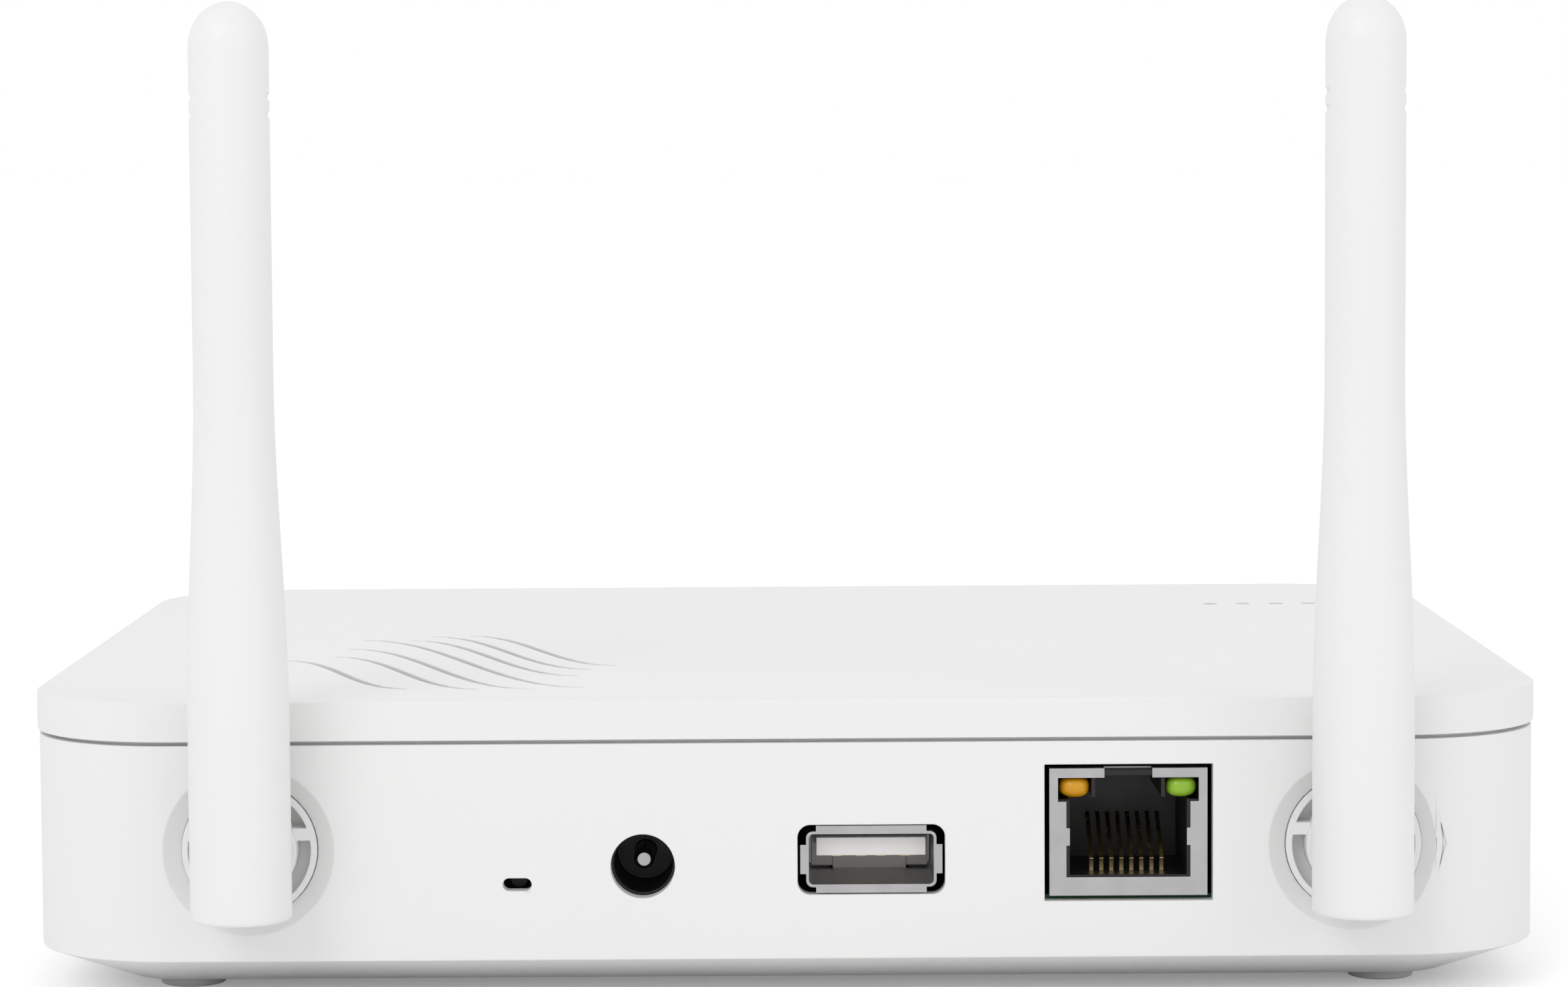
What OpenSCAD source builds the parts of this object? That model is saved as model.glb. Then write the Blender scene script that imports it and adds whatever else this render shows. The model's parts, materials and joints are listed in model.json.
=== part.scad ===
// Desktop optical network terminal with two swivelling antennas.
// Millimetres, +Z up. The port side faces -Y. The origin is the bottom centre of the overall box.

/* [Housing] */
// Width of the base, side to side
body_w = 155; // [140:1:200]
// Depth of the base, ports to front
body_d = 120; // [112:1:170]
// Height of the cover's top above the table
body_h = 31.2; // [31:0.2:45]
// Height of the seam between base and cover above the table
seam_z = 27; // [26.4:0.2:27.6]
// Plan radius of the corners
corner_r = 15; // [13:0.5:20]
// Wall thickness of base and cover
wall = 2; // [1.8:0.1:2.4]
// How far the underside's bevel runs in
bevel_in = 9; // [6:0.5:10]
// How high the underside's bevel rises
bevel_up = 3.4; // [2:0.2:4]
// Open seam between base and cover
seam_gap = 0.4; // [0.2:0.1:0.6]
// How far the cover stands proud of the base
cover_lip = 0.2; // [0:0.1:0.5]
// Height of the feet under the base
foot_h = 1.4; // [1:0.1:2]
// Diameter of the feet
foot_dia = 6.8; // [6:0.2:9]

/* [Board] */
// Height of the board's top face above the table
board_z = 10.8; // [10:0.1:11]
// Thickness of the board
board_t = 1.6; // [1.2:0.1:2]

/* [Antennas] */
// Distance of the left swivel from the middle
left_x = 54.3; // [52:0.1:56]
// Distance of the right swivel from the middle
right_x = 57.4; // [52:0.1:58]
// Height of the swivel axes above the table
swivel_z = 16.1; // [15.5:0.1:17]
// Length of the rod, end to end
rod_len = 91; // [70:1:140]
// Radius of the rod at its foot
rod_r = 5.05; // [4.8:0.05:5.6]
// Radius of the rod at its tip
rod_tip_r = 3.95; // [3.4:0.05:4.4]
// How far the rod reaches below the swivel axis
rod_drop = 5.9; // [5:0.1:6.5]
// Distance of the rod's centre line from the port wall
rod_gap = 6.4; // [6:0.1:9]
// Radius of the bore in the wall that carries the swivel
socket_r = 6.9; // [6.5:0.1:7.5]
// Running clearance of the swivel, on the radius
run_gap = 0.06; // [0.03:0.01:0.1]

/* [Ports] */
// Distance of the network socket from the middle
lan_x = 34.6; // [33:0.2:36]
// Width of the network socket's shield
lan_w = 16; // [15.6:0.1:16.4]
// Height of the network socket's shield
lan_h = 13; // [12.6:0.1:13.2]
// Distance of the USB socket from the middle
usb_x = 8.6; // [6:0.2:12]
// Distance of the power socket from the middle
dc_x = -14.5; // [-18:0.5:-12]
// Radius of the hole in the wall for the power plug
dc_hole_r = 3.25; // [3.1:0.05:3.5]
// Distance of the reset slot from the middle
reset_x = -27.2; // [-32:0.2:-26]
// Distance of the fibre socket from the port wall
fibre_y = 46; // [40:1:60]

/* [Hidden] */
$fn = 64;
rod_over = rod_gap + rod_r;
rear_y = -(rod_over + body_d + cover_lip) / 2 + rod_over;
base_z = foot_h;
floor_z = base_z + wall;
cover_z = seam_z + seam_gap / 2;
rim_z = seam_z - seam_gap / 2;
fit = 0.15;
cover_skirt = 1.2;
lip_in = cover_skirt - cover_lip + fit;
lip_h = 1.6;
ceiling_z = body_h - wall;
board_low = board_z - board_t;
peg_fit = 0.05;

// Feet and the housing screws above them
foot_x = body_w / 2 - corner_r - 0.4;
foot_rear = corner_r + 0.5;
foot_front = body_d - corner_r;
foot_places = [[-foot_x, foot_rear], [foot_x, foot_rear], [-foot_x, foot_front], [foot_x, foot_front]];
foot_sink = 0.5;
column_r = 4;
screw_r = 1.4;
screw_head_r = 2.6;
screw_head_h = 1.6;
screw_seat_z = base_z + foot_sink + 2.6;
screw_pilot_r = screw_r + peg_fit;
column_top = 13;

// Standoffs and board screws
standoff_x = body_w / 2 - 27.5;
standoff_rear = 18.5;
standoff_front = body_d - 14;
standoff_places = [[-standoff_x, standoff_rear], [standoff_x, standoff_rear],
                   [-standoff_x, standoff_front], [standoff_x, standoff_front]];
standoff_r = 3;
board_screw_r = 1;
board_screw_head_r = 2.3;

// Swivels
dish_r = 8.7;
dish_deep = 1.3;
socket_deep = 4.2;
neck_r = 5;
collar_end = 5.2;
collar_r = 9;
clip_t = 0.8;
clip_r = 7.4;
clip_groove_r = 4.4;
hub_r = 4.9;
stub_r = 3.6;
cable_r = 0.7;
cable_bore_r = 0.85;
sleeve_wall = 1.2;
flare_low = 20;
flare_high = 54;
dome_h = 4.5;
notch_r = 0.42;

// Network socket
lan_z = board_z + 0.15;
lan_mid_z = lan_z + lan_h / 2;
lan_gap_side = 0.5;
lan_gap_top = 0.45;
lan_front = 0.5;
lan_deep = 18;
lan_skin = 0.25;
plug_w = 11.8;
plug_low = 2.1;
plug_h = 7.9;
latch_w = 6.6;
lan_pitch = 1.02;

// USB socket
usb_z = board_z + 4.05;
usb_w = 13.2;
usb_h = 5.7;
usb_skin = 0.3;
usb_deep = 14;
usb_flare = 0.65;
usb_hole_w = 14.9;
usb_hole_h = 7.1;
usb_hole_r = 1.3;

// Power socket
dc_z = board_z + 3.5;
dc_front = wall + 0.3;
dc_deep = 11;
dc_w = 9;
dc_h = 7;
dc_barrel_r = 3;
dc_pin_r = 1.05;
dc_pin_start = 4.6;

// Reset switch
reset_z = board_z + 1.7;
reset_slot_w = 2.9;
reset_slot_h = 1.3;
reset_body_y = 6;
plunger_r = 0.9;
plunger_out = 2.4;

// Fibre socket
fibre_z = board_z + 5.6;
fibre_w = 9.2;
fibre_h = 7.6;
fibre_hole_w = 11.4;
fibre_hole_h = 9.4;
fibre_long = 24;
fibre_front = 0.6;
sleeve_in_r = 1.25;
sleeve_out_r = 1.7;

// Cover vents and indicator windows
vent_count = 7;
vent_w = 0.9;
led_count = 5;
led_pitch = 4;
led_x = body_w / 2 - 17.5;
led_y = body_d - 25.3;
window_r = 0.8;

// Keyholes and vents in the floor
keyhole_x = 45;
keyhole_y = 0.5 * body_d;
keyhole_r = 4;
vent_low_pitch = 5;

// ---- shared shapes -------------------------------------------------------

// Everything is drawn with y = 0 on the outside of the port wall, then set into the frame
module seat() translate([0, rear_y, 0]) children();

// Rounded rectangle from the port wall inwards, drawn in by inset on every side
module plan(inset) {
    r = corner_r - inset;
    x = body_w / 2 - inset;
    translate([-x, corner_r]) square([2 * x, body_d - 2 * corner_r]);
    translate([-x + r, inset]) square([2 * (x - r), body_d - 2 * inset]);
    for (sx = [-1, 1], y = [corner_r, body_d - corner_r])
        translate([sx * (x - r), y]) circle(r, $fn = 96);
}

// Solid with that plan from low to high, its foot bevelled in all round
module bevelled_block(inset, low, high) {
    r = corner_r - inset;
    x = body_w / 2 - inset;
    edge = low + bevel_up;
    translate([0, 0, edge]) linear_extrude(high - edge) plan(inset);
    translate([0, body_d - corner_r, 0]) rotate([90, 0, 0])
        linear_extrude(body_d - 2 * corner_r)
            polygon([[-x + bevel_in, low], [x - bevel_in, low], [x, edge], [-x, edge]]);
    translate([-(x - r), 0, 0]) rotate([90, 0, 90]) linear_extrude(2 * (x - r))
        polygon([[inset + bevel_in, low], [body_d - inset - bevel_in, low],
                 [body_d - inset, edge], [inset, edge]]);
    for (sx = [-1, 1], y = [corner_r, body_d - corner_r])
        translate([sx * (x - r), y, low]) cylinder(h = bevel_up, r1 = r - bevel_in, r2 = r, $fn = 96);
}

// Cylinder that runs inwards, along +Y, from y to y + h at x and z
module inward(x, z, y, h, r, r2 = -1)
    translate([x, y, z]) rotate([-90, 0, 0]) cylinder(h = h, r1 = r, r2 = r2 < 0 ? r : r2);

// Rounded slab that runs inwards, along +Y, centred on x and z
module inward_slab(x, z, y, h, w, t, r) {
    translate([x, y + h, z]) rotate([90, 0, 0]) linear_extrude(h) {
        square([w - 2 * r, t], center = true);
        square([w, t - 2 * r], center = true);
        for (sx = [-1, 1], sz = [-1, 1])
            translate([sx * (w / 2 - r), sz * (t / 2 - r)]) circle(r, $fn = 32);
    }
}

// Box centred on x and y, standing on z
module chip(x, y, z, w, d, h) translate([x - w / 2, y - d / 2, z]) cube([w, d, h]);

// ---- housing -------------------------------------------------------------

module base_shell() color("whitesmoke") seat() {
    difference() {
        union() {
            difference() {
                union() {
                    bevelled_block(0, base_z, rim_z);
                    translate([0, 0, rim_z - 0.5]) linear_extrude(lip_h + 0.5) plan(lip_in);
                }
                bevelled_block(wall, floor_z, rim_z);
                translate([0, 0, rim_z - 0.01]) linear_extrude(lip_h + 1) plan(wall);
            }
            for (p = foot_places) translate([p[0], p[1], base_z + 0.2]) cylinder(h = column_top - base_z - 0.2, r = column_r);
            for (p = standoff_places) translate([p[0], p[1], base_z + 0.2]) cylinder(h = board_low - base_z - 0.2, r = standoff_r);
            for (x = [-left_x, right_x]) inward(x, swivel_z, 0.4, collar_end - 0.4, collar_r);
        }
        for (p = foot_places) translate([p[0], p[1], base_z - 1]) {
            cylinder(h = foot_sink + 1, r = foot_dia / 2 + 0.1);
            cylinder(h = screw_seat_z - base_z + 1, r = screw_head_r + 0.2);
            cylinder(h = column_top, r = screw_r + 0.2);
        }
        for (p = standoff_places) translate([p[0], p[1], floor_z]) cylinder(h = board_low, r = board_screw_r + peg_fit);
        for (x = [-left_x, right_x]) {
            inward(x, swivel_z, -0.01, dish_deep, dish_r, socket_r);
            inward(x, swivel_z, -1, socket_deep + 1, socket_r);
            inward(x, swivel_z, -1, collar_end + 2, neck_r);
        }
        port_holes();
        bottom_holes();
    }
}

module port_holes() {
    chip(lan_x, wall / 2, lan_z - lan_gap_top, lan_w + 2 * lan_gap_side, 3 * wall, lan_h + 2 * lan_gap_top);
    inward_slab(usb_x, usb_z, -1, wall + 2, usb_hole_w, usb_hole_h, usb_hole_r);
    inward(dc_x, dc_z, -1, wall + 2, dc_hole_r);
    inward_slab(reset_x, reset_z, -1, wall + 2, reset_slot_w, reset_slot_h, reset_slot_h / 2 - 0.01);
    translate([-body_w / 2 - 1, fibre_y - fibre_hole_w / 2, fibre_z - fibre_hole_h / 2])
        cube([wall + 2, fibre_hole_w, fibre_hole_h]);
}

module bottom_holes() {
    for (sx = [-1, 1]) translate([sx * keyhole_x, keyhole_y, base_z - 1]) {
        cylinder(h = wall + 2, r = keyhole_r);
        translate([-1.9, 0, 0]) cube([3.8, 8, wall + 2]);
        translate([0, 8, 0]) cylinder(h = wall + 2, r = 1.9);
    }
    for (i = [-5:5], y = [0.32, 0.62])
        chip(i * vent_low_pitch, y * body_d, base_z - 1, 1.6, 20, wall + 2);
}

// Centre line of a vent: flat, then slanting, then flat again, as an S
function sway(t) = t * t * (3 - 2 * t);
vent_lean = 0.577;
function vent_line(x, y, long, n = 12) = [for (i = [0:n]) let (t = i / n)
    [x + long * vent_lean * t + 2.4 * (t - sway(t)) , y - long * sway(t)]];
function vent_edge(line, side) = [for (i = [0:len(line) - 1])
    let (a = line[max(i - 1, 0)], b = line[min(i + 1, len(line) - 1)], d = b - a, k = side / norm(d))
    line[i] + [-d[1] * k, d[0] * k]];
function reversed(v) = [for (i = [len(v) - 1:-1:0]) v[i]];
vents = [[-54.7, 38.2, 27], [-49.6, 41.5, 31], [-48.8, 49.5, 39], [-48, 58.5, 47], [-42.6, 58, 36], [-40.4, 62, 34], [-36.2, 62.5, 31]];

module vent_cuts()
    for (v = vents) {
        line = vent_line(v[0], v[1], v[2]);
        translate([0, 0, ceiling_z - 1]) linear_extrude(wall + 2)
            polygon(concat(vent_edge(line, vent_w / 2), reversed(vent_edge(line, -vent_w / 2))));
    }

module top_cover() color("white") seat() {
    difference() {
        union() {
            difference() {
                translate([0, 0, cover_z]) linear_extrude(body_h - cover_z) plan(-cover_lip);
                translate([0, 0, cover_z - 1]) linear_extrude(ceiling_z - cover_z + 1) plan(lip_in - fit);
            }
            for (p = foot_places) translate([p[0], p[1], column_top + 0.1])
                cylinder(h = ceiling_z - column_top + 0.1, r = column_r - 0.6);
        }
        for (p = foot_places) translate([p[0], p[1], column_top - 1])
            cylinder(h = 9, r = screw_pilot_r);
        vent_cuts();
        for (i = [0:led_count - 1]) translate([led_x + (i - 2) * led_pitch, led_y, ceiling_z - 1])
            cylinder(h = wall + 2, r = window_r + peg_fit, $fn = 32);
    }
}

module rubber_feet() color("silver") seat()
    for (p = foot_places) translate([p[0], p[1], 0]) cylinder(h = foot_h + foot_sink, r = foot_dia / 2);

module housing_screws() color("silver") seat()
    for (p = foot_places) translate([p[0], p[1], screw_seat_z]) {
        translate([0, 0, -screw_head_h]) difference() {
            cylinder(h = screw_head_h, r = screw_head_r);
            chip(0, 0, -1, 3, 0.7, 1.8);
            chip(0, 0, -1, 0.7, 3, 1.8);
        }
        translate([0, 0, -0.01]) cylinder(h = 15, r = screw_r);
    }

// ---- board and what stands on it -------------------------------------------

wide_y = 24;
board_side = body_w / 2 - 5.5;
board_waist = body_w / 2 - 21.5;
board_rear = 2.4;

module main_board() color("darkgreen") seat() difference() {
    translate([0, 0, board_low]) linear_extrude(board_t) {
        translate([-42, board_rear]) square([87, wide_y]);
        translate([-board_waist, 11]) square([2 * board_waist, body_d - 19]);
        translate([-board_side, wide_y]) square([2 * board_side, body_d - wide_y - 20]);
    }
    for (p = standoff_places) translate([p[0], p[1], board_low - 1]) cylinder(h = board_t + 2, r = board_screw_r + 0.3);
}

module board_screws() color("silver") seat()
    for (p = standoff_places) translate([p[0], p[1], board_z]) {
        difference() {
            cylinder(h = 1.5, r = board_screw_head_r);
            chip(0, 0, 0.7, 3, 0.6, 1);
            chip(0, 0, 0.7, 0.6, 3, 1);
        }
        translate([0, 0, -5]) cylinder(h = 5.01, r = board_screw_r);
    }

module dc_jack_body() color("black") seat() difference() {
    chip(dc_x, dc_front + dc_deep / 2, board_z, dc_w, dc_deep, dc_h);
    inward(dc_x, dc_z, dc_front - 1, 9.5, dc_barrel_r);
    inward(dc_x, dc_z, dc_front - 1, dc_deep + 2, dc_pin_r);
}

module dc_jack_pin() color("silver") seat() {
    tip = 0.5;
    inward(dc_x, dc_z, dc_pin_start, tip, dc_pin_r - 0.35, dc_pin_r);
    inward(dc_x, dc_z, dc_pin_start + tip, dc_front + dc_deep - dc_pin_start - tip, dc_pin_r);
}

module dc_jack_terminals() color("silver") seat() {
    translate([dc_x - 1.2, dc_front + dc_deep, board_z]) cube([2.4, 0.4, 4.6]);
    translate([dc_x + dc_w / 2, dc_front + 6, board_z]) cube([0.4, 2.4, 4]);
}

module usb_shield() color("silver") seat() difference() {
    union() {
        inward_slab(usb_x, usb_z, 0.3, usb_deep, usb_w, usb_h, 0.7);
        for (s = [-1, 1]) {
            chip(usb_x, 0.45, usb_z + s * (usb_h / 2 + usb_flare / 2 - 0.05) - usb_flare / 2,
                 usb_w - 2, 0.3, usb_flare);
            translate([usb_x + s * (usb_w / 2 + usb_flare / 2 - 0.05) - usb_flare / 2, 0.3, usb_z - 1.5])
                cube([usb_flare, 0.3, 3]);
        }
    }
    inward_slab(usb_x, usb_z, -1, usb_deep + 0.5, usb_w - 2 * usb_skin, usb_h - 2 * usb_skin, 0.45);
    chip(usb_x, usb_deep - 1.8, usb_z - usb_h, 8, 2.6, usb_h);
}

module usb_tongue() color("white") seat() {
    w = 11.1;
    translate([usb_x - w / 2, 2.2, usb_z + 0.1]) cube([w, usb_deep - 3.5, 1.85]);
    translate([usb_x - 6, usb_deep - 3.1 + 0.2, usb_z - 2.3]) cube([12, 2.2, 4.6]);
    translate([usb_x - 3.8, usb_deep - 3, board_z]) cube([7.6, 2, usb_z - board_z]);
}

module usb_contacts() color("gold") seat()
    for (x = [-3.5, -1, 1, 3.5]) chip(usb_x + x, 6.4, usb_z - 0.05, 1, 7, 0.15);

module plug_cavity(y, h) {
    translate([lan_x - plug_w / 2, y, lan_z + plug_low]) cube([plug_w, h, plug_h]);
    translate([lan_x - latch_w / 2, y, lan_z + plug_low]) cube([latch_w, h, plug_h + 2.2]);
}

led_w = 3.1;
led_h = 2.2;
led_side = lan_w / 2 - 2.6;
led_up = 9.9;

module led_pocket(sx, y, h, grow) translate([lan_x + sx * led_side - led_w / 2 - grow, y, lan_z + led_up - grow])
    cube([led_w + 2 * grow, h, led_h + 2 * grow]);

module lan_socket_body() color("black") seat() difference() {
    translate([lan_x - lan_w / 2 + lan_skin, lan_front + lan_skin, lan_z + lan_skin])
        cube([lan_w - 2 * lan_skin, lan_deep - 2 * lan_skin, lan_h - 2 * lan_skin]);
    plug_cavity(0, 13);
    for (sx = [-1, 1]) led_pocket(sx, 0, 6, 0.12);
}

module lan_socket_shield() color("silver") seat() {
    difference() {
        translate([lan_x - lan_w / 2, lan_front, lan_z]) cube([lan_w, lan_deep, lan_h]);
        translate([lan_x - lan_w / 2 + lan_skin, lan_front + lan_skin, lan_z + lan_skin])
            cube([lan_w - 2 * lan_skin, lan_deep - 2 * lan_skin, lan_h - 2 * lan_skin]);
        translate([lan_x - plug_w / 2 - 0.35, 0, lan_z + plug_low - 0.2]) cube([plug_w + 0.7, 2, plug_h]);
        translate([lan_x - latch_w / 2 + 0.9, 0, lan_z + plug_low]) cube([latch_w - 1.8, 2, lan_h]);
        translate([lan_x - lan_w / 2 + 0.9, 0, lan_z + led_up - 0.3]) cube([lan_w - 1.8, 2, led_h + 0.2]);
    }
    for (sx = [-1, 1]) translate([lan_x + sx * (plug_w / 2 + 0.2) - 0.2, lan_front, lan_z + 5.1])
        cube([0.4, lan_skin, 1.8]);
}

// Eight sprung wires that rise from the socket's floor and slant back into it
module lan_contacts() color("gold") seat()
    for (i = [0:7]) translate([lan_x + (i - 3.5) * lan_pitch - 0.22, 0, 0]) {
        translate([0, 3.2, lan_z + plug_low]) cube([0.44, 0.6, 1.1]);
        translate([0, 3.2, lan_z + plug_low + 1]) rotate([32, 0, 0]) cube([0.44, 7.4, 0.4]);
    }

module lan_led(sx) seat() {
    led_pocket(sx, 1.1, 4.8, 0);
    translate([lan_x + sx * led_side, 1.1, lan_z + led_up + led_h / 2]) rotate([90, 0, 0])
        cylinder(h = 0.5, r1 = 1.05, r2 = 0.6, $fn = 32);
}
module lan_led_amber() color("orange") lan_led(-1);
module lan_led_green() color("yellowgreen") lan_led(1);

module reset_switch_body() color("dimgray") seat() difference() {
    chip(reset_x, reset_body_y + 1.8, board_z, 6, 3.6, 3.4);
    inward(reset_x, reset_z, reset_body_y - 1, 2.2, plunger_r + 0.08);
}

module reset_plunger() color("black") seat()
    inward(reset_x, reset_z, reset_body_y - plunger_out, plunger_out + 0.8, plunger_r);

// ---- fibre side --------------------------------------------------------------

// Box that runs inwards along +X from the left wall, centred on the fibre axis
module fibre_box(x, long, w, h) translate([-body_w / 2 + x, fibre_y - w / 2, fibre_z - h / 2]) cube([long, w, h]);
module fibre_rod(x, long, r) translate([-body_w / 2 + x, fibre_y, fibre_z]) rotate([0, 90, 0]) cylinder(h = long, r = r);

module optical_receptacle() color("green") seat() {
    difference() {
        union() {
            fibre_box(fibre_front, fibre_long, fibre_w + 1.8, fibre_h + 1.4);
            for (x = [8, fibre_long - 4]) translate([-body_w / 2 + x, fibre_y - 3, board_z])
                cube([3, 6, fibre_z - board_z - fibre_h / 2]);
        }
        fibre_box(-1, 15, fibre_w, fibre_h);
        fibre_box(-1, 9, 3, fibre_h + 6);
        fibre_rod(0, fibre_long + 3, sleeve_out_r + peg_fit);
    }
}

module ferrule_sleeve() color("white") seat() difference() {
    fibre_rod(7, fibre_long + fibre_front - 7, sleeve_out_r);
    fibre_rod(6, 12, sleeve_in_r);
}

module optical_transceiver() color("silver") seat() {
    x = fibre_front + fibre_long;
    fibre_rod(x, 3, 3);
    fibre_box(x + 3, 8, 7, 7);
    fibre_rod(x + 11, 4, 2.7);
    translate([-body_w / 2 + x + 7, fibre_y + 3.5, fibre_z]) rotate([-90, 0, 0]) cylinder(h = 3.4, r = 2.7);
}

module optical_leads() color("gold") seat() {
    x = -body_w / 2 + fibre_front + fibre_long;
    for (s = [-1, 1]) {
        translate([x + 15, fibre_y + s * 1.1 - 0.2, fibre_z - 0.2]) cube([2.4, 0.4, 0.4]);
        translate([x + 17, fibre_y + s * 1.1 - 0.2, board_z]) cube([0.4, 0.4, fibre_z - board_z + 0.2]);
        translate([x + 7 + s * 1.1 - 0.2, fibre_y + 6.9, fibre_z - 0.2]) cube([0.4, 2.4, 0.4]);
        translate([x + 7 + s * 1.1 - 0.2, fibre_y + 8.9, board_z]) cube([0.4, 0.4, fibre_z - board_z + 0.2]);
    }
}

// ---- chips -------------------------------------------------------------------

cpu_y = 60;
module processor_chip() color("dimgray") seat() chip(2, cpu_y, board_z, 17, 17, 1.4);
module heatsink() color("silver") seat() {
    chip(2, cpu_y, board_z + 1.4, 28, 28, 1.6);
    for (i = [-4:4]) chip(2 + i * 3.3, cpu_y, board_z + 2.9, 1, 28, 7);
}
module memory_chip() color("dimgray") seat() chip(28, cpu_y, board_z, 9, 13, 1.1);
module flash_chip() color("dimgray") seat() chip(28, cpu_y + 18, board_z, 8, 6, 1);
module wifi_shield_can() color("silver") seat() chip(-26, 86, board_z, 30, 20, 2.6);
module lan_transformer() color("dimgray") seat() chip(lan_x, 26, board_z, 15, 9.5, 5.8);
module capacitors() color("midnightblue") seat()
    for (p = [[-14.5, 21, 4, 10], [-25, 21, 3.2, 9], [-5, 21.5, 3.2, 9]])
        translate([p[0], p[1], board_z]) cylinder(h = p[3], r = p[2]);
module power_inductor() color("dimgray") seat() {
    chip(-14, 34, board_z, 7, 7, 1);
    translate([-14, 34, board_z + 0.9]) cylinder(h = 2.6, r = 3.1);
}
module crystal() color("silver") seat() chip(-18, cpu_y, board_z, 3.2, 2.5, 0.9);

module status_leds() color("lightyellow") seat()
    for (i = [0:led_count - 1]) chip(led_x + (i - 2) * led_pitch, led_y, board_z, 1.6, 0.8, 0.7);

module light_guide() color("lightcyan") seat() {
    low = board_z + 1;
    for (i = [0:led_count - 1]) translate([led_x + (i - 2) * led_pitch, led_y, low])
        cylinder(h = body_h - low, r = window_r, $fn = 32);
    chip(led_x, led_y, ceiling_z - 2.4, 4 * led_pitch + 3, 3, 2.3);
    for (s = [-1, 1]) chip(led_x + s * (2 * led_pitch + 2.2), led_y, board_z, 1.6, 3, ceiling_z - board_z - 0.1);
}

// ---- antennas ------------------------------------------------------------------

// The rod's radius at height h above its foot: full below, eased in to the slim upper part
function rod_at(h) = rod_tip_r + (rod_r - rod_tip_r) * (1 - sway(min(max((h - flare_low) / (flare_high - flare_low), 0), 1)));
flare_steps = [for (i = [0:10]) flare_low + (flare_high - flare_low) * i / 10];
rod_foot_r = 0.6;
function rod_profile(cut) = concat(
    [[0, cut]],
    [for (a = [0:30:90]) [rod_r - cut - rod_foot_r * (1 - sin(a)), cut + rod_foot_r * (1 - cos(a))]],
    [for (h = flare_steps) [rod_at(h) - cut, h]],
    [for (a = [0:10:80]) [(rod_tip_r - cut) * cos(a), rod_len - dome_h + (dome_h - cut) * sin(a)]],
    [[0, rod_len - cut]]);

module antenna_place(x) seat() translate([x, 0, swivel_z]) children();
module rod_place(x) antenna_place(x) translate([0, -rod_gap, -rod_drop]) children();
module across(y, h, r, r2 = -1) inward(0, 0, y, h, r, r2);

module antenna_sleeve(x) color("whitesmoke") difference() {
    rod_place(x) difference() {
        rotate_extrude($fn = 72) polygon(rod_profile(0));
        rotate_extrude($fn = 48) polygon(rod_profile(sleeve_wall));
        for (h = [rod_len - 11.1, rod_len - 9.4], sx = [-1, 1]) translate([sx * (rod_tip_r + 0.1), 0, h])
            rotate([90, 0, 0]) cylinder(h = 2 * rod_r, r = notch_r, center = true, $fn = 24);
    }
    antenna_place(x) across(-rod_gap + 1, rod_gap, stub_r + peg_fit);
}

module antenna_swivel(x) color("white") antenna_place(x) difference() {
    union() {
        across(dish_deep - 0.6, 0.6 + socket_deep - dish_deep - 0.1, socket_r - run_gap);
        across(socket_deep - 0.2, collar_end + clip_t + 0.5 - socket_deep, neck_r - run_gap);
        across(-0.9, 3, hub_r);
        across(-rod_gap + 1.1, rod_gap - 1, stub_r);
    }
    // crescent windows between the hub and the outer ring, parted by two ribs
    difference() {
        across(-1, socket_deep - 0.2, socket_r - 0.7);
        across(-2, socket_deep + 2, hub_r);
        translate([-socket_r, -1.5, 0.9]) cube([2 * socket_r, socket_deep + 2, 1.3]);
    }
    difference() {
        across(collar_end + 0.1, clip_t + 0.1, neck_r + 1);
        across(collar_end, clip_t + 1, clip_groove_r);
    }
    across(-rod_gap, rod_gap + collar_end + 3, cable_bore_r);
}

module antenna_radiator(x) color("goldenrod") rod_place(x) {
    translate([0, 0, 24]) difference() {
        cylinder(h = 22, r = 1.9);
        translate([0, 0, -1]) cylinder(h = 24, r = 1.5);
    }
    translate([0, 0, 45]) cylinder(h = 1, r = 1.9);
    translate([0, 0, 45.9]) cylinder(h = rod_len - 45.9 - dome_h - 2, r = 0.7);
}

module antenna_feed(x) color("gray") {
    antenna_place(x) across(-rod_gap, rod_gap + collar_end + clip_t + 0.4, cable_r);
    rod_place(x) translate([0, 0, rod_drop]) {
        sphere(cable_r);
        cylinder(h = 45 - rod_drop, r = cable_r);
    }
}

module antenna_clip(x) color("silver") antenna_place(x) difference() {
    across(collar_end + 0.15, clip_t - 0.1, clip_r);
    across(collar_end - 1, 4, clip_groove_r + peg_fit);
    translate([-1.5, collar_end - 1, -clip_r - 1]) cube([3, 4, clip_r]);
}

// Leads from the swivels to the board: straight in, down and onto their plugs
pigtail_start = collar_end + clip_t + 0.4;
pigtail_y = 9.4;
plug_y = 30;
crimp_r = cable_r + 0.15;
function plug_x(x) = x - sign(x) * 10;

module coax_pigtails() color("gray") seat()
    for (x = [-left_x, right_x]) {
        inward(x, swivel_z, pigtail_start, pigtail_y - pigtail_start, cable_r);
        translate([x, pigtail_y, swivel_z]) sphere(crimp_r);
        elbow = [plug_x(x), plug_y, swivel_z];
        way = elbow - [x, pigtail_y, swivel_z];
        translate([x, pigtail_y, swivel_z]) rotate([-90, 0, atan2(way[1], way[0]) - 90])
            cylinder(h = norm(way), r = cable_r);
        translate(elbow) sphere(crimp_r);
        translate([elbow[0], elbow[1], board_z + 1.5]) cylinder(h = swivel_z - board_z - 1.5, r = cable_r);
    }
module coax_plugs() color("gold") seat()
    for (x = [-left_x, right_x]) translate([plug_x(x), plug_y, board_z]) cylinder(h = 1.5, r = 1.3);

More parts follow.
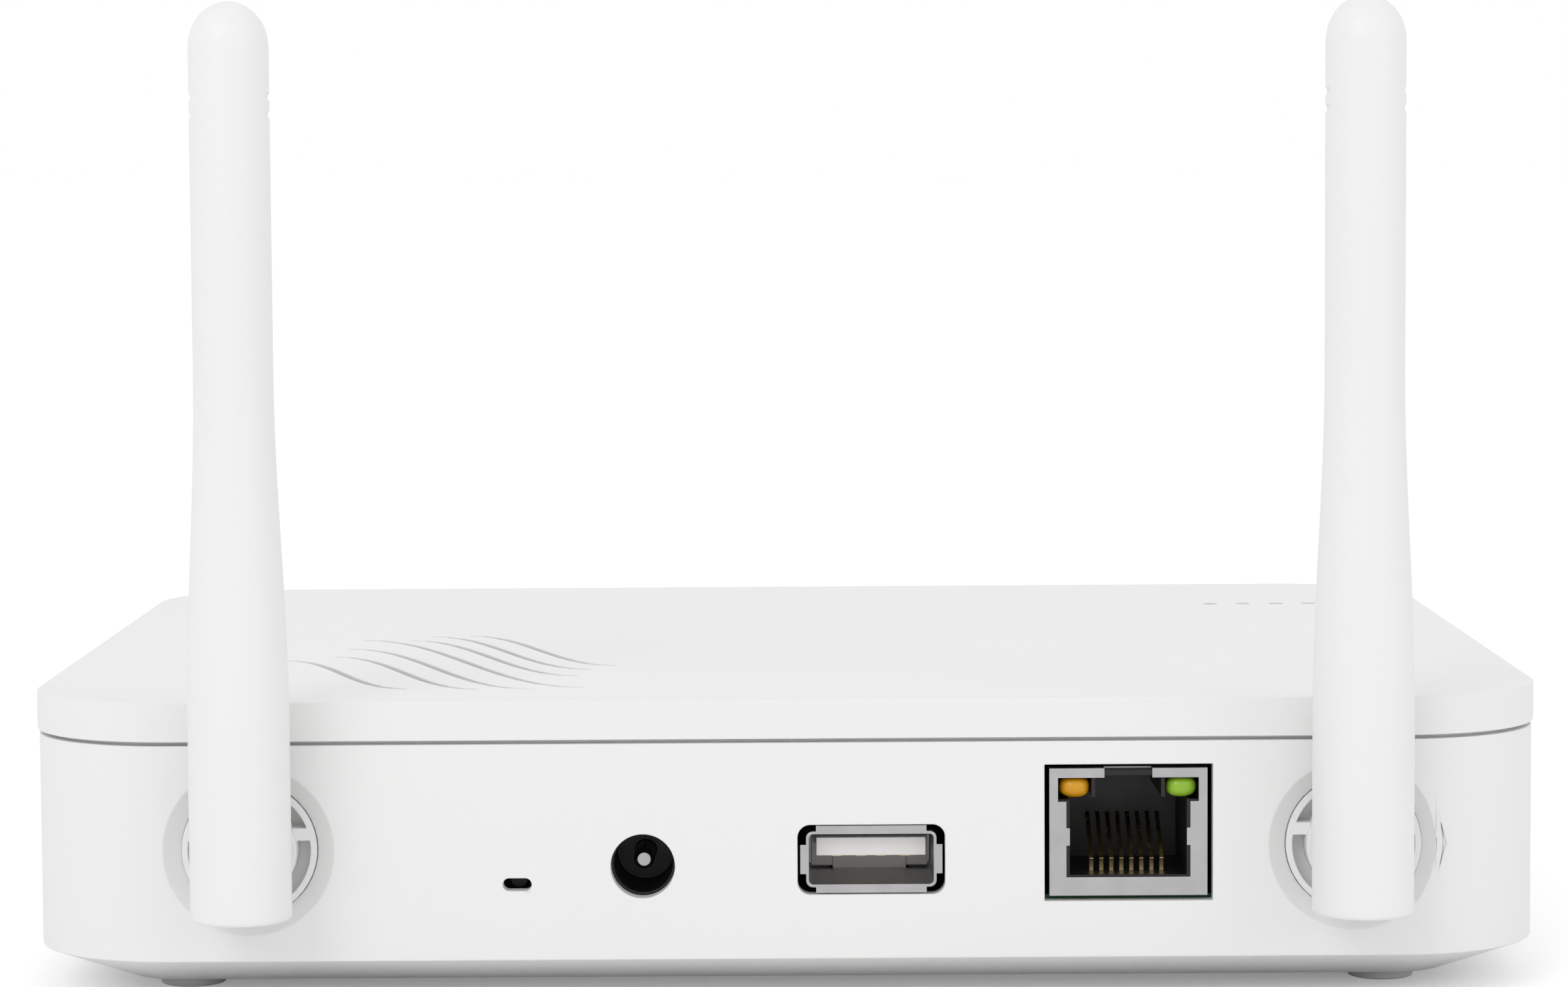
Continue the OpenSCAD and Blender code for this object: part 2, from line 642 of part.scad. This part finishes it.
base_shell();
top_cover();
rubber_feet();
housing_screws();
main_board();
board_screws();
dc_jack_body();
dc_jack_pin();
dc_jack_terminals();
usb_shield();
usb_tongue();
usb_contacts();
lan_socket_body();
lan_socket_shield();
lan_contacts();
lan_led_amber();
lan_led_green();
reset_switch_body();
reset_plunger();
optical_receptacle();
ferrule_sleeve();
optical_transceiver();
optical_leads();
processor_chip();
heatsink();
memory_chip();
flash_chip();
wifi_shield_can();
lan_transformer();
capacitors();
power_inductor();
crystal();
status_leds();
light_guide();
coax_pigtails();
coax_plugs();
antenna_swivel(-left_x);  // antenna_left_swivel
antenna_sleeve(-left_x);  // antenna_left_sleeve
antenna_radiator(-left_x);  // antenna_left_radiator
antenna_feed(-left_x);  // antenna_left_feed
antenna_clip(-left_x);  // antenna_left_clip
antenna_swivel(right_x);  // antenna_right_swivel
antenna_sleeve(right_x);  // antenna_right_sleeve
antenna_radiator(right_x);  // antenna_right_radiator
antenna_feed(right_x);  // antenna_right_feed
antenna_clip(right_x);  // antenna_right_clip
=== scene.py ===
import json
import math

import bmesh
import bpy
import numpy as np
from mathutils import Matrix, Vector


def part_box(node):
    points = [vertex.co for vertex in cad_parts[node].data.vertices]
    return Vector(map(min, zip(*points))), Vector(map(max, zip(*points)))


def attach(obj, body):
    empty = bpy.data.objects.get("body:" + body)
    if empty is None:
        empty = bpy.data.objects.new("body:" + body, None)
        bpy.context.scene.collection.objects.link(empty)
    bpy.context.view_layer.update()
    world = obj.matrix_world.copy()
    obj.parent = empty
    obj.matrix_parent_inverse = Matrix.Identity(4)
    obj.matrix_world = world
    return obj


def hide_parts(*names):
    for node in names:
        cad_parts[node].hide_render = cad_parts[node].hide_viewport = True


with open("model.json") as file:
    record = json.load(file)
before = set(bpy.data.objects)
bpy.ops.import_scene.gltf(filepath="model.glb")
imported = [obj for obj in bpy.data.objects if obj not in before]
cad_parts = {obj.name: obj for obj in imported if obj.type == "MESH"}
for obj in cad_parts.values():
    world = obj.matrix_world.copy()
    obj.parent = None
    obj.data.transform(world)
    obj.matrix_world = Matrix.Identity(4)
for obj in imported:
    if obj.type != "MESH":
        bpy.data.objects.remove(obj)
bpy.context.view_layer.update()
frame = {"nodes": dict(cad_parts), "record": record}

# ---- Moulded housing -------------------------------------------------------
# Base and cover of white ABS, each moulded in one piece with a fine satin texture.
# The cover's lip sits inside the base's rim, and four screws hold the two from below.
mm = 0.001
slots = {part["node"]: part["material_slot"] for part in frame["record"]["subparts"]}
weld_distance = 0.002 * mm
flat_angle = math.radians(0.3)
smooth_angle = math.radians(35)
housing_edge = 0.12 * mm


def to_linear(code):
    """Linear colour of an sRGB hex code: c / 12.92 where dark, else ((c + 0.055) / 1.055) ** 2.4."""
    parts = [int(code[i : i + 2], 16) / 255 for i in (1, 3, 5)]
    return [c / 12.92 if c <= 0.04045 else ((c + 0.055) / 1.055) ** 2.4 for c in parts] + [1.0]


def add_node(tree, kind, settings=None, links=None, **options):
    """A node of that kind with its options, its socket values and what is linked into it."""
    made = tree.nodes.new(kind)
    for key, value in options.items():
        setattr(made, key, value)
    for key, value in (settings or {}).items():
        made.inputs[key].default_value = value
    for key, source in (links or {}).items():
        tree.links.new(source, made.inputs[key])
    return made


def surface(name, light, dark, patch, rough, grain, grain_depth, shader=None):
    """A material whose colour drifts between two tones over patches of one size in metres,
    whose roughness drifts between two values, and whose face has a fine grain of one size
    and depth. The shader's other sockets are set by name."""
    material = bpy.data.materials.new(name)
    material.use_nodes = True
    tree = material.node_tree
    tree.nodes.clear()
    place = add_node(tree, "ShaderNodeTexCoord").outputs["Object"]
    drift = add_node(tree, "ShaderNodeTexNoise", {"Scale": 1 / patch, "Detail": 3.0},
                     {"Vector": place})
    # a Mix node's two colour sockets are numbers 6 and 7, and its colour result is number 2
    tone = add_node(tree, "ShaderNodeMix", {6: to_linear(dark), 7: to_linear(light)},
                    {0: drift.outputs["Fac"]}, data_type="RGBA")
    sheen = add_node(tree, "ShaderNodeMapRange", {"To Min": rough[0], "To Max": rough[1]},
                     {"Value": drift.outputs["Fac"]})
    texture = add_node(tree, "ShaderNodeTexNoise", {"Scale": 1 / grain, "Detail": 2.0},
                       {"Vector": place})
    relief = add_node(tree, "ShaderNodeBump", {"Strength": 1.0, "Distance": grain_depth},
                      {"Height": texture.outputs["Fac"]})
    coat = add_node(tree, "ShaderNodeBsdfPrincipled", shader,
                    {"Base Color": tone.outputs[2], "Roughness": sheen.outputs["Result"],
                     "Normal": relief.outputs["Normal"]})
    add_node(tree, "ShaderNodeOutputMaterial", None, {"Surface": coat.outputs["BSDF"]})
    return material


def settle(made, body, node):
    """The piece moves with that body, and the node is hidden in the view and the render."""
    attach(made, body)
    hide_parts(node)
    return made


def merged_copy(piece, node, body, material, edge):
    """A copy of a CAD node with its doubled points welded and its flat faces joined. Faces that
    meet below the smooth angle are shaded as one, and a bevel rounds the other edges."""
    data = frame["nodes"][node].data.copy()
    data.name = piece
    work = bmesh.new()
    work.from_mesh(data)
    bmesh.ops.remove_doubles(work, verts=work.verts, dist=weld_distance)
    bmesh.ops.dissolve_limit(work, angle_limit=flat_angle, verts=work.verts, edges=work.edges)
    work.to_mesh(data)
    work.free()
    data.materials.clear()
    data.materials.append(material)
    data.polygons.foreach_set("use_smooth", np.ones(len(data.polygons), bool))
    data.polygons.foreach_set("material_index", np.zeros(len(data.polygons), np.int32))
    if data.attributes.get("custom_normal"):
        data.attributes.remove(data.attributes["custom_normal"])
    data.set_sharp_from_angle(angle=smooth_angle)
    made = bpy.data.objects.new(piece, data)
    bpy.context.scene.collection.objects.link(made)
    if edge:
        bevel = made.modifiers.new("edge", "BEVEL")
        bevel.width = edge
        bevel.segments = 2
        bevel.limit_method = "ANGLE"
        bevel.angle_limit = smooth_angle
        bevel.use_clamp_overlap = False
        bevel.harden_normals = True
    return settle(made, body, node)


# Moulded ABS: an even, slightly warm white with a broad, soft highlight. The texture of
# the real mould is finer, and is drawn 0.28 mm coarse so that it shows.
white_abs = surface("white_abs", "#F1F1F0", "#EEEEEE", patch=30 * mm, rough=(0.40, 0.48),
                    grain=0.28 * mm, grain_depth=0.006 * mm, shader={"IOR": 1.5})
merged_copy("housing_base", "base_shell", "housing", white_abs, housing_edge)
merged_copy("housing_cover", "top_cover", "housing", white_abs, housing_edge)

# ---- Feet ------------------------------------------------------------------
# Four round pads of pale silicone rubber, each pressed into a shallow seat in the base.
foot_edge = 0.25 * mm

# Moulded silicone: a dull pale grey that takes no clear highlight.
silicone = surface("silicone_rubber", "#D2D2D3", "#C6C6C8", patch=6 * mm, rough=(0.62, 0.74),
                   grain=0.2 * mm, grain_depth=0.01 * mm)
merged_copy("feet", "rubber_feet", "housing", silicone, foot_edge)

# ---- Antennas --------------------------------------------------------------
# Hollow rods of the same white ABS, wide at the foot and slimmer to a domed tip.
# Each is pressed on a swivel, which turns in the port wall behind a spring clip.
rod_around = 96
rod_axis_radius = 0.02 * mm
rod_foot_round = 0.5 * mm
flare_low = 20 * mm
flare_high = 54 * mm
tip_radius = 3.95 * mm
dome_height = 4.5 * mm
notch_radius = 0.42 * mm
notch_stand_off = 0.1 * mm
notch_drops = (11.1 * mm, 9.4 * mm)
notch_zone = 9 * mm
notch_row = 0.06 * mm
swivel_edge = 0.12 * mm
grid_sharp_angle = math.radians(40)


def rod_outline(foot_radius, length):
    """Radius and height of each ring. The foot edge is a quarter circle, the flare is an eased
    step t * t * (3 - 2 * t) between two radii, and the tip is a quarter ellipse. Rows are
    close together where the notches are."""
    turn = np.linspace(0, math.pi / 2, 7)
    foot = np.column_stack([foot_radius - rod_foot_round * (1 - np.sin(turn)),
                            rod_foot_round * (1 - np.cos(turn))])
    dome_start = length - dome_height
    flared = np.linspace(rod_foot_round, flare_high, 60)[1:]
    plain = np.linspace(flare_high, dome_start - notch_zone, 12)[1:]
    notched = np.arange(plain[-1] + 0.5 * mm, dome_start, notch_row)
    heights = np.concatenate([flared, plain, notched])
    t = np.clip((heights - flare_low) / (flare_high - flare_low), 0, 1)
    eased = t * t * (3 - 2 * t)
    side = np.column_stack([foot_radius + (tip_radius - foot_radius) * eased, heights])
    turn = np.linspace(0, math.pi / 2, 17)
    tip = np.column_stack([tip_radius * np.cos(turn), dome_start + dome_height * np.sin(turn)])
    tip[-1, 0] = rod_axis_radius
    return np.concatenate([[[rod_axis_radius, 0.0]], foot, side, tip])


def closed_grid(name, rings, material):
    """A closed skin over rings of points. Point j of ring i makes a four sided face with point
    j + 1 and the same two points of ring i + 1, and the first and last rings are capped."""
    count, around = rings.shape[:2]
    start = (np.arange(count - 1) * around)[:, None]
    here = np.arange(around)[None, :]
    beside = (here + 1) % around
    quads = np.stack([start + here, start + beside,
                      start + around + beside, start + around + here], axis=2)
    first_cap = np.arange(around)[::-1].tolist()
    last_cap = np.arange((count - 1) * around, count * around).tolist()
    data = bpy.data.meshes.new(name)
    data.from_pydata(rings.reshape(-1, 3).tolist(), [],
                     quads.reshape(-1, 4).tolist() + [first_cap, last_cap])
    data.polygons.foreach_set("use_smooth", np.ones(len(data.polygons), bool))
    data.set_sharp_from_angle(angle=grid_sharp_angle)
    data.materials.append(material)
    made = bpy.data.objects.new(name, data)
    bpy.context.scene.collection.objects.link(made)
    return made


def antenna_rod(side):
    """The outline turned about the rod's centre line. Near the tip, each side is held within
    x = tip radius + 0.1 mm - sqrt(r * r - h * h), which presses in two small round notches."""
    node = f"antenna_{side}_sleeve"
    low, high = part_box(node)
    middle = (low + high) / 2
    length = high.z - low.z
    outline = rod_outline((high.x - low.x) / 2, length)
    angle = np.arange(rod_around) * 2 * math.pi / rod_around
    x = outline[:, :1] * np.cos(angle)
    y = outline[:, :1] * np.sin(angle)
    z = np.repeat(outline[:, 1:], rod_around, axis=1)
    for drop in notch_drops:
        off = np.clip(np.abs(z - (length - drop)), 0, notch_radius)
        limit = tip_radius + notch_stand_off - np.sqrt(notch_radius ** 2 - off ** 2)
        limit = np.where(off < notch_radius, limit, length)
        x = np.clip(x, -limit, limit)
    rings = np.stack([x + middle.x, y + middle.y, z + low.z], axis=2)
    return settle(closed_grid(f"antenna_{side}_rod", rings, white_abs), f"antenna_{side}", node)


for side in ("left", "right"):
    antenna_rod(side)
    merged_copy(f"antenna_{side}_pivot", f"antenna_{side}_swivel", f"antenna_{side}",
                white_abs, swivel_edge)

# ---- Socket metalwork ------------------------------------------------------
# Shields round the network and USB sockets and the power socket's pin, all of steel.
# The shields are pressed from thin sheet, folded round their bodies and soldered down.
sheet_edge = 0.06 * mm
pin_edge = 0.1 * mm

# Nickel plate: a warm grey mirror, dulled a little by handling.
nickel = surface("nickel_plate", "#C9C7C8", "#AFAEB0", patch=3 * mm, rough=(0.24, 0.36),
                 grain=0.15 * mm, grain_depth=0.002 * mm, shader={"Metallic": 1.0})
merged_copy("network_shield", "lan_socket_shield", "housing", nickel, sheet_edge)
merged_copy("usb_shell", "usb_shield", "housing", nickel, sheet_edge)
merged_copy("power_pin", "dc_jack_pin", "housing", nickel, pin_edge)

# ---- Socket bodies and reset pin -------------------------------------------
# Glass filled nylon: the bodies that hold the network and power contacts, and the pin
# that slides in the reset switch. The bodies are soldered to the board by their leads.
network_body_edge = 0.06 * mm
power_body_edge = 0.12 * mm
reset_pin_edge = 0.1 * mm

# Moulded black nylon: nearly black, with a satin face that greys at a low angle.
black_nylon = surface("black_nylon", "#111112", "#0A0A0B", patch=2 * mm, rough=(0.36, 0.5),
                      grain=0.12 * mm, grain_depth=0.004 * mm)
merged_copy("network_body", "lan_socket_body", "housing", black_nylon, network_body_edge)
merged_copy("power_body", "dc_jack_body", "housing", black_nylon, power_body_edge)
merged_copy("reset_pin", "reset_plunger", "reset_button", black_nylon, reset_pin_edge)

# ---- USB tongue ------------------------------------------------------------
# A thin tongue of white PBT that carries the four USB contacts, moulded with its back wall.
tongue_edge = 0.08 * mm

# Moulded PBT: a clean white, a little glossier than the housing.
white_pbt = surface("white_pbt", "#EDECEA", "#E4E3E1", patch=2 * mm, rough=(0.34, 0.44),
                    grain=0.1 * mm, grain_depth=0.003 * mm)
merged_copy("usb_tongue_block", "usb_tongue", "housing", white_pbt, tongue_edge)

# ---- Network wires ---------------------------------------------------------
# Eight sprung wires of phosphor bronze with a gold flash, bent up from the socket's floor.
wire_edge = 0.05 * mm

# Gold flash: a pale yellow metal, bright where the wires are bent.
gold_flash = surface("gold_flash", "#EBD9AC", "#D3B374", patch=1 * mm, rough=(0.2, 0.32),
                     grain=0.1 * mm, grain_depth=0.002 * mm, shader={"Metallic": 1.0})
merged_copy("network_wires", "lan_contacts", "housing", gold_flash, wire_edge)

# ---- Network lamps ---------------------------------------------------------
# Two lenses of tinted acrylic in the top corners of the network socket, domed in front.
# Each is pushed into a pocket of the socket's body from the front.
lens_around = 48
lens_dome = 1.3 * mm
lens_power = 0.8
lens_last_turn = 0.49 * math.pi


def lamp_lens(piece, node, material):
    """A block with the section |x / a| ** 2.5 + |z / b| ** 2.5 = 1. Its front shrinks along a
    quarter circle into a dome."""
    low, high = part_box(node)
    middle = (low + high) / 2
    angle = np.arange(lens_around) * 2 * math.pi / lens_around
    section = np.column_stack([np.sign(np.cos(angle)) * np.abs(np.cos(angle)) ** lens_power,
                               np.sign(np.sin(angle)) * np.abs(np.sin(angle)) ** lens_power])
    turn = np.linspace(0, lens_last_turn, 14)
    sizes = np.concatenate([[1.0], np.cos(turn)])
    depths = np.concatenate([[high.y], low.y + lens_dome * (1 - np.sin(turn))])
    half = np.array([(high.x - low.x) / 2, (high.z - low.z) / 2])
    rings = np.zeros((len(sizes), lens_around, 3))
    rings[:, :, 0] = middle.x + sizes[:, None] * section[:, 0] * half[0]
    rings[:, :, 1] = depths[:, None]
    rings[:, :, 2] = middle.z + sizes[:, None] * section[:, 1] * half[1]
    return settle(closed_grid(piece, rings, material), "housing", node)


# Polished acrylic: glossy, deep in colour and slightly clear.
tinted = {"Transmission Weight": 0.2, "IOR": 1.49}
amber_acrylic = surface("amber_acrylic", "#F4B51C", "#DE970C", patch=1 * mm, rough=(0.12, 0.2),
                        grain=0.3 * mm, grain_depth=0.001 * mm, shader=tinted)
green_acrylic = surface("green_acrylic", "#AEDB3E", "#8ABF2A", patch=1 * mm, rough=(0.12, 0.2),
                        grain=0.3 * mm, grain_depth=0.001 * mm, shader=tinted)
lamp_lens("network_lamp_amber", "lan_led_amber", amber_acrylic)
lamp_lens("network_lamp_green", "lan_led_green", green_acrylic)

# ---- Fibre socket ----------------------------------------------------------
# A receptacle of green PBT for a square fibre plug, let into the left side wall.
receptacle_edge = 0.1 * mm

# Moulded PBT: a plain strong green with a satin face.
green_pbt = surface("green_pbt", "#2E8B4A", "#257A3F", patch=3 * mm, rough=(0.38, 0.48),
                    grain=0.12 * mm, grain_depth=0.004 * mm)
merged_copy("fibre_receptacle", "optical_receptacle", "housing", green_pbt, receptacle_edge)

# ---- Indicator windows -----------------------------------------------------
# One moulded guide of acrylic, whose five posts end flush with the cover.

# Clear acrylic: nearly colourless, so that each window shows a dark spot with a bright rim.
clear_acrylic = surface("clear_acrylic", "#E8EEEE", "#DCE4E4", patch=3 * mm, rough=(0.08, 0.16),
                        grain=0.3 * mm, grain_depth=0.001 * mm,
                        shader={"Transmission Weight": 0.8, "IOR": 1.49})
merged_copy("indicator_guide", "light_guide", "housing", clear_acrylic, 0)

# ---- Case screws -----------------------------------------------------------
# Four steel screws that come up through the base and hold the two halves together.
screw_edge = 0.08 * mm

# Zinc plate: a cool light grey metal with a soft shine.
zinc = surface("zinc_plate", "#BEBFC2", "#A3A5A9", patch=2 * mm, rough=(0.28, 0.4),
               grain=0.15 * mm, grain_depth=0.003 * mm, shader={"Metallic": 1.0})
merged_copy("case_screws", "housing_screws", "housing", zinc, screw_edge)

# ---- Parts inside ----------------------------------------------------------
# Board, chips, heat sink and aerial leads, seen only through the vents and the holes.
# Each stays as the frame gives it and takes its finish through its slot.

# Solder mask over copper: a glossy dark green, a little uneven.
solder_mask = surface("green_solder_mask", "#1F6B3A", "#185A30", patch=4 * mm,
                      rough=(0.28, 0.42), grain=0.4 * mm, grain_depth=0.01 * mm)
# Moulded epoxy: the dull charcoal of chip packages.
epoxy = surface("moulded_epoxy", "#2B2B2D", "#1F1F21", patch=2 * mm, rough=(0.5, 0.62),
                grain=0.1 * mm, grain_depth=0.006 * mm)
# Anodised aluminium: a silvery grey metal with a broad shine.
anodised = surface("anodised_alloy", "#B9BCC0", "#A4A7AB", patch=3 * mm, rough=(0.34, 0.46),
                   grain=0.12 * mm, grain_depth=0.003 * mm, shader={"Metallic": 1.0})
# Extruded jacket of the thin aerial leads: an even mid grey.
grey_jacket = surface("grey_cable_jacket", "#8A8A8C", "#7A7A7C", patch=3 * mm,
                      rough=(0.45, 0.55), grain=0.15 * mm, grain_depth=0.004 * mm)
finishes = {
    "white_shell": white_abs, "foot_rubber": silicone, "screw_steel": zinc,
    "board_green": solder_mask, "black_plastic": black_nylon, "socket_metal": nickel,
    "pale_plastic": white_pbt, "contact_gold": gold_flash, "amber_lens": amber_acrylic,
    "green_lens": green_acrylic, "fibre_green": green_pbt, "chip_resin": epoxy,
    "heatsink_alloy": anodised, "clear_guide": clear_acrylic, "cable_grey": grey_jacket,
}
for name, kept in frame["nodes"].items():
    for place in kept.material_slots:
        place.material = finishes[slots[name]]

# ---- Studio ----------------------------------------------------------------
# A pale painted floor in a white room, with three soft round lamps.
# None of it is part of the terminal.
floor_reach = 30.0
floor_lift = 0.22
room_glow = 0.84
# each lamp's place, diameter and power, in metres and watts
lamp_plan = {
    "key": ((-0.55, -1.0, 0.75), 0.7, 2.6),
    "fill": ((0.9, -0.8, 0.35), 0.5, 0.8),
    "top": ((0.1, 0.5, 1.2), 0.8, 0.15),
}

corners = [(-floor_reach, -floor_reach, 0), (floor_reach, -floor_reach, 0),
           (floor_reach, floor_reach, 0), (-floor_reach, floor_reach, 0)]
floor_mesh = bpy.data.meshes.new("studio_floor")
floor_mesh.from_pydata(corners, [], [(0, 1, 2, 3)])
floor = bpy.data.objects.new("studio_floor", floor_mesh)
bpy.context.scene.collection.objects.link(floor)

# Matt paint. To the camera alone it is a little brighter, so that it meets the white
# room with no line. The terminal's shadow stays on it.
paint = surface("floor_paint", "#F8F8F8", "#F7F7F7", patch=400 * mm, rough=(0.85, 0.9),
                grain=2 * mm, grain_depth=0.01 * mm)
seen = add_node(paint.node_tree, "ShaderNodeLightPath")
lift = add_node(paint.node_tree, "ShaderNodeMath", {1: floor_lift},
                {0: seen.outputs["Is Camera Ray"]}, operation="MULTIPLY")
painted = next(n for n in paint.node_tree.nodes if n.type == "BSDF_PRINCIPLED")
painted.inputs["Emission Color"].default_value = (1, 1, 1, 1)
paint.node_tree.links.new(lift.outputs[0], painted.inputs["Emission Strength"])
floor_mesh.materials.append(paint)

# The room is white to the camera, in gloss and through clear parts, and lights a little less.
world = bpy.data.worlds.new("white_room")
bpy.context.scene.world = world
world.use_nodes = True
sky = world.node_tree
sky.nodes.clear()
ray = add_node(sky, "ShaderNodeLightPath")
mirror = add_node(sky, "ShaderNodeMath", None,
                  {0: ray.outputs["Is Camera Ray"], 1: ray.outputs["Is Glossy Ray"]},
                  operation="MAXIMUM")
through = add_node(sky, "ShaderNodeMath", None,
                   {0: mirror.outputs[0], 1: ray.outputs["Is Transmission Ray"]},
                   operation="MAXIMUM")
glow = add_node(sky, "ShaderNodeMapRange", {"To Min": room_glow, "To Max": 1.0},
                {"Value": through.outputs[0]})
room = add_node(sky, "ShaderNodeBackground", {"Color": (1, 1, 1, 1)},
                {"Strength": glow.outputs["Result"]})
add_node(sky, "ShaderNodeOutputWorld", None, {"Surface": room.outputs["Background"]})

for name, (spot, size, power) in lamp_plan.items():
    lamp = bpy.data.lights.new(name, "AREA")
    lamp.shape = "DISK"
    lamp.size = size
    lamp.energy = power
    holder = bpy.data.objects.new(name, lamp)
    holder.location = spot
    holder.rotation_euler = (-Vector(spot)).to_track_quat("-Z", "Y").to_euler()
    bpy.context.scene.collection.objects.link(holder)

# ---- Camera ----------------------------------------------------------------
# Close behind the terminal and a little above it, looking slightly down through a long
# lens, and turned by a third of a degree.
lens_mm = 100.7
sensor_mm = 36.0
stand_off = 0.439
eye_height = 0.0843
pitch = math.radians(4.21)
roll = math.radians(-0.35)
port_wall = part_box("base_shell")[0].y
camera = bpy.data.objects.new("camera", bpy.data.cameras.new("camera"))
camera.data.lens = lens_mm
camera.data.sensor_width = sensor_mm
camera.data.clip_start = 0.01
camera.data.clip_end = 100.0
camera.matrix_world = (Matrix.Translation((0.0, port_wall - stand_off, eye_height))
                       @ Matrix.Rotation(math.pi / 2 - pitch, 4, "X")
                       @ Matrix.Rotation(roll, 4, "Z"))
bpy.context.scene.collection.objects.link(camera)
bpy.context.scene.camera = camera
bpy.context.scene.view_settings.view_transform = "Standard"
